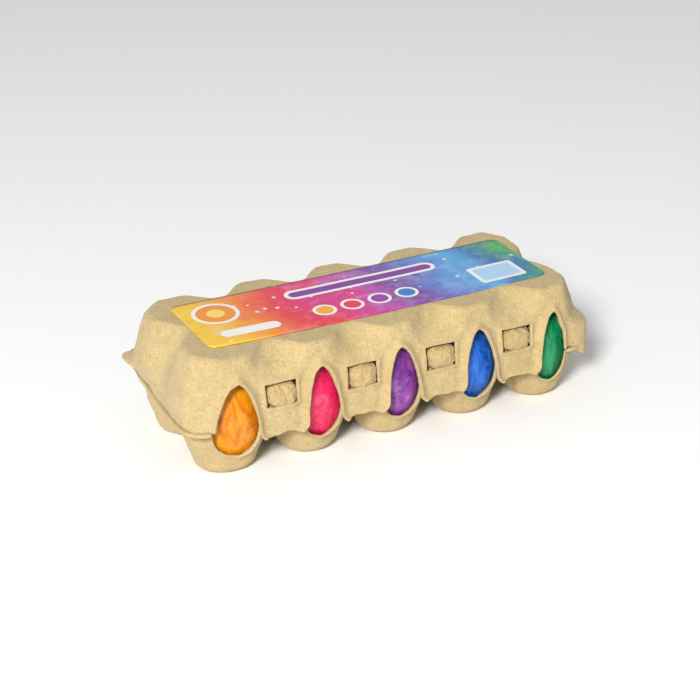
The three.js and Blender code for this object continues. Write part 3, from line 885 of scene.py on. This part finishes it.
def egg_faces(cell, side):
    half_length, half_width = EGG_SIZES[cell]
    columns = []
    for turn in np.linspace(0, 2 * math.pi, EGG_SIDES + 1):
        line = []
        for tilt in np.linspace(0, math.pi, EGG_RINGS + 1):
            radius = half_width * math.sin(tilt) * (1 + EGG_FULLNESS * math.cos(tilt))
            height = WALL + EGG_GAP + half_length * (1 - math.cos(tilt))
            line.append((cell_x(cell) + radius * math.cos(turn),
                         side * ROW_OFFSET + radius * math.sin(turn), height))
        columns.append(line)
    return grid_faces(columns)


eggs = {}
for side, row in ((FRONT, "front"), (BACK, "back")):
    for cell in range(CELLS_IN_ROW):
        node = f"egg_{row}_{cell + 1}"
        egg = add_object(f"dyed_{node}", mesh_from_faces(node, egg_faces(cell, side), (0, 0, -1)))
        press_unevenness(egg, EGG_WAVES)
        smooth_shade(egg)
        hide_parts(node)
        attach(egg, "tray")
        eggs[node] = egg
print("eggs:", len(eggs))

# %% [markdown]
# ## The label
# A sheet of coated paper is glued to the lid's top and follows its sag. It is a fine grid whose
# columns get shorter toward both ends, along the arcs of its corners, so no boolean is needed. A
# small lift keeps it clear of the pulp.

# %% Label mesh
LABEL_HALF_LENGTH, LABEL_HALF_WIDTH, LABEL_CORNER = 101.0, 29.0, 4.5
LABEL_LIFT, PAPER = 0.62, 0.3
LABEL_COLUMNS, LABEL_ROWS = 61, 25
LABEL_WAVES = [(24, 0.16)]


def label_point(x, share):
    past = max(0.0, abs(x) - (LABEL_HALF_LENGTH - LABEL_CORNER))
    half = LABEL_HALF_WIDTH - LABEL_CORNER + math.sqrt(max(0.0, LABEL_CORNER**2 - past**2))
    y = share * half
    return x, y, LID_TOP + LABEL_LIFT - top_sag(x, y, LID_TOP)


inner = LABEL_HALF_LENGTH - LABEL_CORNER
bends = [inner + LABEL_CORNER * math.sin(math.radians(turn)) for turn in (15, 30, 45, 60, 75, 90)]
label_xs = [-x for x in bends[::-1]] + list(np.linspace(-inner, inner, LABEL_COLUMNS)) + bends
label_shares = np.linspace(-1, 1, LABEL_ROWS)
label_faces = grid_faces([[label_point(x, share) for share in label_shares] for x in label_xs])
label = add_object("paper_label", mesh_from_faces("paper_label", label_faces, (0, 0, 1)))
press_unevenness(label, LABEL_WAVES)
paper = label.modifiers.new("paper", "SOLIDIFY")
paper.thickness = PAPER * MM
paper.offset = -1
apply_modifiers(label)
smooth_shade(label)
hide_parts("label")
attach(label, "lid")
print("label:", len(label.data.polygons), "faces")

# %% [markdown]
# ## Nodes for the materials
# Every finish here is made of shader nodes. One helper fills a node's inputs, by a link where the
# value comes from another node and by a plain value elsewhere. The others each make one kind of
# node and hand on its output. Masks are black and white colours, which a ramp makes of any value.

# %% Node helpers
BLACK, WHITE = (0, 0, 0), (1, 1, 1)


def feed(tree, node, values):
    for name, value in values.items():
        socket = node.inputs[name]
        if isinstance(value, bpy.types.NodeSocket):
            tree.links.new(value, socket)
        else:
            socket.default_value = (*value, 1) if socket.type == "RGBA" else value


def add_node(tree, kind, values=None, **settings):
    node = tree.nodes.new("ShaderNode" + kind)
    for name, value in settings.items():
        setattr(node, name, value)
    feed(tree, node, values or {})
    return node


def noise_of(tree, place, scale, detail, roughness, distortion=0.0, output="Fac"):
    values = {"Vector": place, "Scale": scale, "Detail": detail, "Roughness": roughness,
              "Distortion": distortion}
    return add_node(tree, "TexNoise", values).outputs[output]


def cells_of(tree, place, scale):
    values = {"Vector": place, "Scale": scale}
    return add_node(tree, "TexVoronoi", values, feature="F1").outputs["Distance"]


def moved_place(tree, place, **values):
    return add_node(tree, "Mapping", {"Vector": place, **values}, vector_type="POINT").outputs["Vector"]


def ramp(tree, value, stops):
    node = add_node(tree, "ValToRGB", {"Fac": value})
    elements = node.color_ramp.elements
    while len(elements) < len(stops):
        elements.new(0.5)
    for element, (place, colour) in zip(elements, stops):
        element.position = place
        element.color = (*colour, 1)
    return node.outputs["Color"]


def mix(tree, share, a, b, blend="MIX"):
    """The two colours are the mix node's inputs 6 and 7."""
    values = {0: share, 6: a, 7: b}
    return add_node(tree, "Mix", values, data_type="RGBA", blend_type=blend).outputs[2]


def maths(tree, operation, *numbers):
    return add_node(tree, "Math", dict(enumerate(numbers)), operation=operation).outputs[0]


def bump_of(tree, height, strength, distance):
    values = {"Height": height, "Strength": strength, "Distance": distance}
    return add_node(tree, "Bump", values).outputs["Normal"]


def new_material(name):
    material = bpy.data.materials.new(name)
    material.use_nodes = True
    tree = material.node_tree
    return material, tree, tree.nodes["Principled BSDF"], add_node(tree, "TexCoord").outputs["Object"]


# %% [markdown]
# ### Fibres of the pulp
# This pulp is tan paper fibre: close up there are short pale threads, dark specks and soft cloudy
# patches. Threads are noise that is drawn out in one direction and bent, specks are the small cells
# of a Voronoi texture, clouds are large noise. Several pieces use the look with other values, so it
# is a node group with named sockets, which puts out a colour and a height.

# %% Pulp fibre group
THREAD_COLOUR, SPECK_COLOUR, GRAIN_COLOUR = (0.66, 0.54, 0.32), (0.24, 0.15, 0.07), (0.7, 0.66, 0.6)
SOCKETS = {
    "INPUT": {"Place": "Vector", "Pale": "Color", "Dark": "Color", "Cloudiness": "Float", "Specks": "Float"},
    "OUTPUT": {"Colour": "Color", "Height": "Float"},
}


def make_fibre_group():
    group = bpy.data.node_groups.new("pulp fibres", "ShaderNodeTree")
    for way, kinds in SOCKETS.items():
        for name, kind in kinds.items():
            group.interface.new_socket(name, in_out=way, socket_type="NodeSocket" + kind)
    given = group.nodes.new("NodeGroupInput").outputs
    place = given["Place"]
    clouds = noise_of(group, place, scale=38, detail=5, roughness=0.6, distortion=0.4)
    mottle = noise_of(group, place, scale=210, detail=4, roughness=0.65)
    grain = noise_of(group, place, scale=900, detail=3, roughness=0.7)
    bend = noise_of(group, place, scale=120, detail=2, roughness=0.5, output="Color")
    bent = mix(group, 0.006, place, bend, "ADD")
    drawn = moved_place(group, bent, Rotation=(0.3, 0.5, 0.4), Scale=(1.0, 4.2, 4.2))
    threads = noise_of(group, drawn, scale=330, detail=2, roughness=0.5)
    thread_mask = ramp(group, threads, [(0.62, BLACK), (0.7, WHITE)])
    speck_mask = ramp(group, cells_of(group, place, 420), [(0.1, WHITE), (0.2, BLACK)])
    patchy = maths(group, "MULTIPLY", clouds, given["Cloudiness"])
    spotty = maths(group, "MULTIPLY_ADD", mottle, 0.55, patchy)
    shade = ramp(group, spotty, [(0.35, BLACK), (0.85, WHITE)])
    colour = mix(group, shade, given["Pale"], given["Dark"])
    colour = mix(group, maths(group, "MULTIPLY", thread_mask, 0.35), colour, THREAD_COLOUR)
    colour = mix(group, maths(group, "MULTIPLY", speck_mask, given["Specks"]), colour, SPECK_COLOUR)
    grain_shade = ramp(group, grain, [(0.3, GRAIN_COLOUR), (0.7, WHITE)])
    rough = maths(group, "MULTIPLY_ADD", grain, 0.6, mottle)
    feed(group, group.nodes.new("NodeGroupOutput"), {
        "Colour": mix(group, 0.85, colour, grain_shade, "MULTIPLY"),
        "Height": maths(group, "MULTIPLY_ADD", thread_mask, 0.25, rough),
    })
    return group


fibre_group = make_fibre_group()
print("group:", fibre_group.name)

# %% [markdown]
# The shader itself stays in the material: pulp is fully dull, with a trace of sheen from the fibres
# that stand up. Tabs and fold get a slightly darker pulp, which is painted shade for their places
# behind the panels and in the fold between lid and tray, and more specks. One function with four
# values is enough for both.

# %% Pulp material
def pulp_material(name, pale, dark, cloudiness, specks):
    material, tree, shader, place = new_material(name)
    values = {"Place": place, "Pale": pale, "Dark": dark, "Cloudiness": cloudiness, "Specks": specks}
    fibres = add_node(tree, "Group", values, node_tree=fibre_group).outputs
    feed(tree, shader, {
        "Base Color": fibres["Colour"], "Roughness": 0.93, "Specular IOR Level": 0.2,
        "Sheen Weight": 0.15, "Sheen Roughness": 0.6,
        "Normal": bump_of(tree, fibres["Height"], strength=0.6, distance=0.001),
    })
    return material


pulp = pulp_material("moulded pulp", (0.66, 0.51, 0.25), (0.47, 0.345, 0.155), 0.5, 0.5)
# Tabs and fold: the darker pale and dark tones are painted shade of the recess and the fold; more specks too.
shade_darkened_pulp = pulp_material("tab and fold pulp with painted shade", (0.64, 0.475, 0.22), (0.43, 0.3, 0.13), 0.55, 0.55)
for piece in (lid, tray):
    piece.data.materials.append(pulp)
for piece in (tabs, fold):
    piece.data.materials.append(shade_darkened_pulp)
print("pulp on", lid.name, tray.name, tabs.name, fold.name)

# %% [markdown]
# ### Dyed shells
# Dye runs on a shell before it dries, so the colour is clouded with deeper streaks and pale, pearly
# patches, under a thin shine. Noise bent by other noise gives the marbled streaks. Each egg gets its
# own colours and a shift in the pattern, so that no two look alike.

# %% Dyed shell materials
SHELLS = {
    "orange": ((0.82, 0.3, 0.001), (0.58, 0.14, 0.001), (0.98, 0.55, 0.06)),
    "pink": ((0.9, 0.02, 0.13), (0.6, 0.004, 0.06), (1.0, 0.2, 0.34)),
    "purple": ((0.29, 0.055, 0.38), (0.13, 0.018, 0.2), (0.6, 0.3, 0.68)),
    "blue": ((0.009, 0.16, 0.72), (0.003, 0.06, 0.36), (0.12, 0.45, 0.95)),
    "green": ((0.005, 0.3, 0.11), (0.002, 0.14, 0.045), (0.08, 0.55, 0.26)),
}
ORDERS = {
    "front": ["orange", "pink", "purple", "blue", "green"],
    "back": ["green", "blue", "orange", "pink", "purple"],
}
SHIFT = (0.37, 0.21, 0.11)


def shell_material(name, colours, shift):
    plain, deep, pearl = colours
    material, tree, shader, place = new_material(name)
    moved = moved_place(tree, place, Location=tuple(shift * step for step in SHIFT))
    drawn = moved_place(tree, moved, Rotation=(0.5, 0.3 * shift, 0.2), Scale=(2.4, 2.4, 0.9))
    streaks = noise_of(tree, drawn, scale=62, detail=8, roughness=0.66, distortion=1.1)
    patches = noise_of(tree, moved, scale=90, detail=6, roughness=0.62, distortion=0.7)
    fine = noise_of(tree, moved, scale=620, detail=4, roughness=0.6)
    body = mix(tree, ramp(tree, streaks, [(0.4, WHITE), (0.55, BLACK)]), plain, deep)
    pearl_mask = ramp(tree, patches, [(0.54, BLACK), (0.7, WHITE)])
    height = maths(tree, "MULTIPLY_ADD", streaks, 1.6, fine)
    feed(tree, shader, {
        "Base Color": mix(tree, maths(tree, "MULTIPLY", pearl_mask, 0.55), body, pearl),
        "Roughness": maths(tree, "MULTIPLY_ADD", fine, 0.2, 0.28),
        "Specular IOR Level": 0.2, "Coat Weight": 0.6, "Coat Roughness": 0.26,
        "Normal": bump_of(tree, height, strength=0.5, distance=0.0009),
    })
    return material


for row, order in ORDERS.items():
    for cell, dye in enumerate(order):
        egg = eggs[f"egg_{row}_{cell + 1}"]
        shift = cell + (CELLS_IN_ROW if row == "back" else 0)
        egg.data.materials.append(shell_material(f"{dye} shell {row}", SHELLS[dye], shift))
print("shell colours:", ", ".join(SHELLS))

# %% [markdown]
# ### Printed label
# The print is a watercolour wash that runs through the rainbow from yellow at the left to green at
# the right. Two noises push the borders between the colours about, and each colour gets paler and
# darker where the wash pooled. Plain blank shapes stand in for the printed panels: they are masks
# made from distances in millimetres, so they stay sharp. No picture is used.

# %% Label material
def shape_mask(tree, x, y, centre, half, corner):
    """White inside a box with rounded corners, or a disc when corner equals half; all in metres."""
    sides = []
    for coordinate, middle, reach in ((x, centre[0], half[0]), (y, centre[1], half[1])):
        away = maths(tree, "ABSOLUTE", maths(tree, "SUBTRACT", coordinate, middle * MM))
        sides.append(maths(tree, "MAXIMUM", maths(tree, "SUBTRACT", away, (reach - corner) * MM), 0.0))
    squares = [maths(tree, "MULTIPLY", side, side) for side in sides]
    distance = maths(tree, "SQRT", maths(tree, "ADD", *squares))
    return maths(tree, "LESS_THAN", distance, corner * MM)


WASH = [
    (0.0, (0.93, 0.62, 0.02)), (0.1, (0.93, 0.5, 0.012)), (0.2, (0.88, 0.2, 0.02)),
    (0.3, (0.8, 0.03, 0.05)), (0.4, (0.72, 0.012, 0.2)), (0.5, (0.5, 0.08, 0.45)),
    (0.6, (0.2, 0.05, 0.35)), (0.7, (0.13, 0.2, 0.62)), (0.8, (0.08, 0.42, 0.78)),
    (0.9, (0.012, 0.16, 0.46)), (1.0, (0.05, 0.4, 0.1)),
]
PAPER_WHITE, POOL_PALE = (0.9, 0.89, 0.86), (0.95, 0.85, 0.75)
DISC_COLOURS = [(0.9, 0.4, 0.02), (0.8, 0.02, 0.1), (0.3, 0.03, 0.38), (0.02, 0.2, 0.6)]
DISC_STEP, FIRST_DISC, DISC_Y = 16.5, -26, -13
SHAPES = [
    ((-80, 9), (13, 13), 13, PAPER_WHITE),
    ((-80, 9), (10.8, 10.8), 10.8, (0.88, 0.28, 0.02)),
    ((-80, 9), (5, 5), 5, (0.95, 0.72, 0.12)),
    ((-71, -17), (17, 4), 4, PAPER_WHITE),
    ((8, 12), (46, 5.6), 5.6, PAPER_WHITE),
    ((8, 12), (43.6, 3.2), 3.2, (0.22, 0.03, 0.32)),
    ((80, -13), (14, 10.5), 2, PAPER_WHITE),
    ((80, -13), (11.6, 8.1), 1, (0.42, 0.68, 0.9)),
]
for place, fill in enumerate(DISC_COLOURS):
    middle = (DISC_STEP * place + FIRST_DISC, DISC_Y)
    SHAPES += [(middle, (6.6, 6.6), 6.6, PAPER_WHITE), (middle, (4.8, 4.8), 4.8, fill)]


def label_material():
    material, tree, shader, place = new_material("printed label")
    parts = add_node(tree, "SeparateXYZ", {"Vector": place}).outputs
    wide = noise_of(tree, place, scale=22, detail=3, roughness=0.5, distortion=0.6)
    curl = noise_of(tree, place, scale=75, detail=5, roughness=0.6, distortion=1.0)
    along = maths(tree, "MULTIPLY_ADD", parts["X"], 1 / (2 * LABEL_HALF_LENGTH * MM), 0.5)
    slanted = maths(tree, "MULTIPLY_ADD", parts["Y"], 0.9, along)
    pushed = maths(tree, "MULTIPLY_ADD", wide, 0.34, slanted)
    pushed = maths(tree, "MULTIPLY_ADD", curl, 0.12, pushed)
    wash = ramp(tree, maths(tree, "SUBTRACT", pushed, 0.23), WASH)
    pools = ramp(tree, curl, [(0.5, BLACK), (0.72, WHITE)])
    paler = mix(tree, maths(tree, "MULTIPLY", pools, 0.22), wash, POOL_PALE)
    drops = noise_of(tree, place, scale=140, detail=3, roughness=0.5)
    dark = ramp(tree, drops, [(0.3, WHITE), (0.42, BLACK)])
    colour = mix(tree, maths(tree, "MULTIPLY", dark, 0.4), paler, wash, "MULTIPLY")
    dot_mask = maths(tree, "LESS_THAN", cells_of(tree, place, 105), 0.13)
    colour = mix(tree, maths(tree, "MULTIPLY", dot_mask, 0.75), colour, PAPER_WHITE)
    for centre, half, corner, fill in SHAPES:
        colour = mix(tree, shape_mask(tree, parts["X"], parts["Y"], centre, half, corner), colour, fill)
    cockle = noise_of(tree, place, scale=60, detail=2, roughness=0.5)
    feed(tree, shader, {
        "Base Color": colour, "Roughness": 0.2, "Coat Weight": 0.5, "Coat Roughness": 0.12,
        "Normal": bump_of(tree, cockle, strength=0.25, distance=0.001),
    })
    return material


label.data.materials.append(label_material())
print("label shapes:", len(SHAPES))

# %% [markdown]
# ## Light and floor
# The photograph is a studio picture: the carton stands on white, with soft light from the upper left
# and front, and a pale shadow to the right of it. One square area light gives the shadow its soft
# edge, and a white world fills it. A ring of lights would leave no shadow side on the lobes.

# %% Floor and light
FLOOR_CORNERS = [(-6, -6, 0), (6, -6, 0), (6, 12, 0), (-6, 12, 0)]
WORLD_STRENGTH = 0.42
KEY_PLACE, KEY_TARGET = Vector((-1.3, -1.55, 1.3)), Vector((0, 0, 0.03))
KEY_SIZE, KEY_POWER = 0.45, 62

floor_mesh = bpy.data.meshes.new("floor")
floor_mesh.from_pydata(FLOOR_CORNERS, [], [(0, 1, 2, 3)])
floor = add_object("floor", floor_mesh)
floor_material, floor_tree, floor_shader, _ = new_material("white floor")
feed(floor_tree, floor_shader, {"Base Color": WHITE, "Roughness": 1.0, "Specular IOR Level": 0.0})
floor.data.materials.append(floor_material)

world = bpy.data.worlds.new("studio")
bpy.context.scene.world = world
world.use_nodes = True
background = world.node_tree.nodes["Background"]
feed(world.node_tree, background, {"Color": WHITE, "Strength": WORLD_STRENGTH})

key_data = bpy.data.lights.new("key light", "AREA")
key_data.shape = "RECTANGLE"
key_data.size, key_data.size_y = KEY_SIZE, KEY_SIZE
key_data.energy = KEY_POWER
key_light = bpy.data.objects.new("key light", key_data)
key_light.location = KEY_PLACE
key_light.rotation_euler = (KEY_TARGET - KEY_PLACE).to_track_quat("-Z", "Y").to_euler()
bpy.context.scene.collection.objects.link(key_light)
bpy.context.scene.view_settings.view_transform = "Standard"
